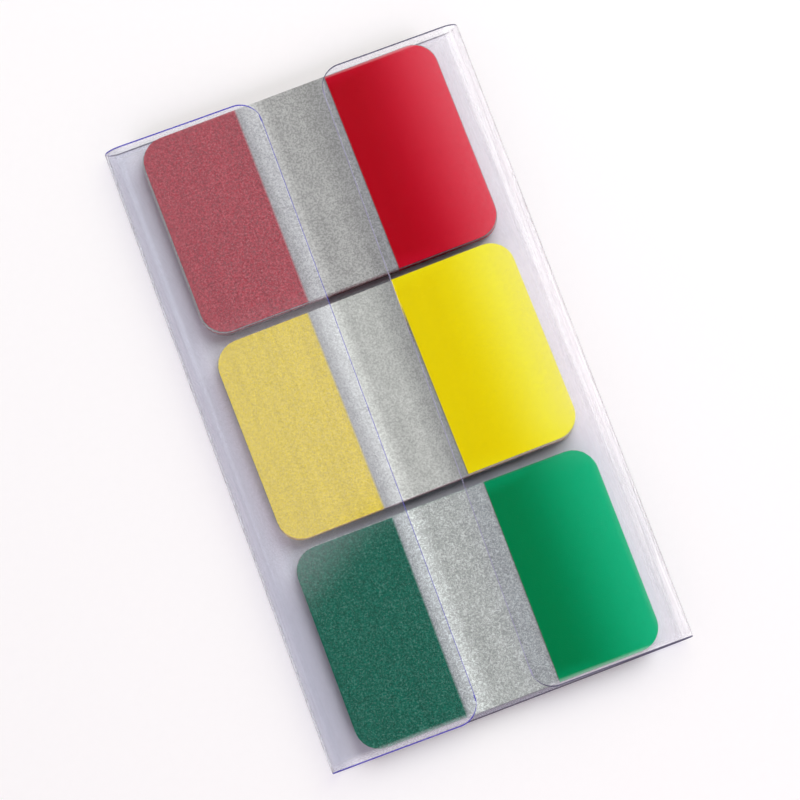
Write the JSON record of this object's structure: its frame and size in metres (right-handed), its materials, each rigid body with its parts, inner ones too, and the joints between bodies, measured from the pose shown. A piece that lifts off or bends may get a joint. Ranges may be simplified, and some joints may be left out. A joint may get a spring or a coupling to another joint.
{
  "type": "sticky index tabs",
  "caption": "Pocket pack of repositionable film index tabs: pads in several colours, each tab coloured at one end and clear at the other, in a folded clear vinyl sleeve.",
  "frame": {"origin": "middle of the pack's box on the surface that the back panel lies on", "axes": "+X across the pack from the left fold to the right one, +Y along the folds towards the red pad, +Z out of the front, through the slot"},
  "size_m": [0.046, 0.0802, 0.0041],
  "materials": {
    "clear_vinyl": "clear, faintly blue-violet soft vinyl sheet, glossy",
    "red_film": "satin printed film",
    "yellow_film": "satin printed film",
    "green_film": "satin printed film"
  },
  "bodies": {
    "root": {"sleeve": "clear_vinyl", "red_tab_01": "red_film", "red_tab_02": "red_film", "red_tab_03": "red_film", "red_tab_04": "red_film", "red_tab_05": "red_film", "red_tab_06": "red_film", "red_tab_07": "red_film", "red_tab_08": "red_film", "red_tab_09": "red_film", "red_tab_10": "red_film", "red_tab_11": "red_film", "red_tab_12": "red_film", "red_tab_13": "red_film", "red_tab_14": "red_film", "red_tab_15": "red_film", "red_tab_16": "red_film", "red_tab_17": "red_film", "red_tab_18": "red_film", "yellow_tab_01": "yellow_film", "yellow_tab_02": "yellow_film", "yellow_tab_03": "yellow_film", "yellow_tab_04": "yellow_film", "yellow_tab_05": "yellow_film", "yellow_tab_06": "yellow_film", "yellow_tab_07": "yellow_film", "yellow_tab_08": "yellow_film", "yellow_tab_09": "yellow_film", "yellow_tab_10": "yellow_film", "yellow_tab_11": "yellow_film", "yellow_tab_12": "yellow_film", "yellow_tab_13": "yellow_film", "yellow_tab_14": "yellow_film", "yellow_tab_15": "yellow_film", "yellow_tab_16": "yellow_film", "yellow_tab_17": "yellow_film", "yellow_tab_18": "yellow_film", "green_tab_01": "green_film", "green_tab_02": "green_film", "green_tab_03": "green_film", "green_tab_04": "green_film", "green_tab_05": "green_film", "green_tab_06": "green_film", "green_tab_07": "green_film", "green_tab_08": "green_film", "green_tab_09": "green_film", "green_tab_10": "green_film", "green_tab_11": "green_film", "green_tab_12": "green_film", "green_tab_13": "green_film", "green_tab_14": "green_film", "green_tab_15": "green_film", "green_tab_16": "green_film", "green_tab_17": "green_film", "green_tab_18": "green_film"}
  },
  "joints": []
}
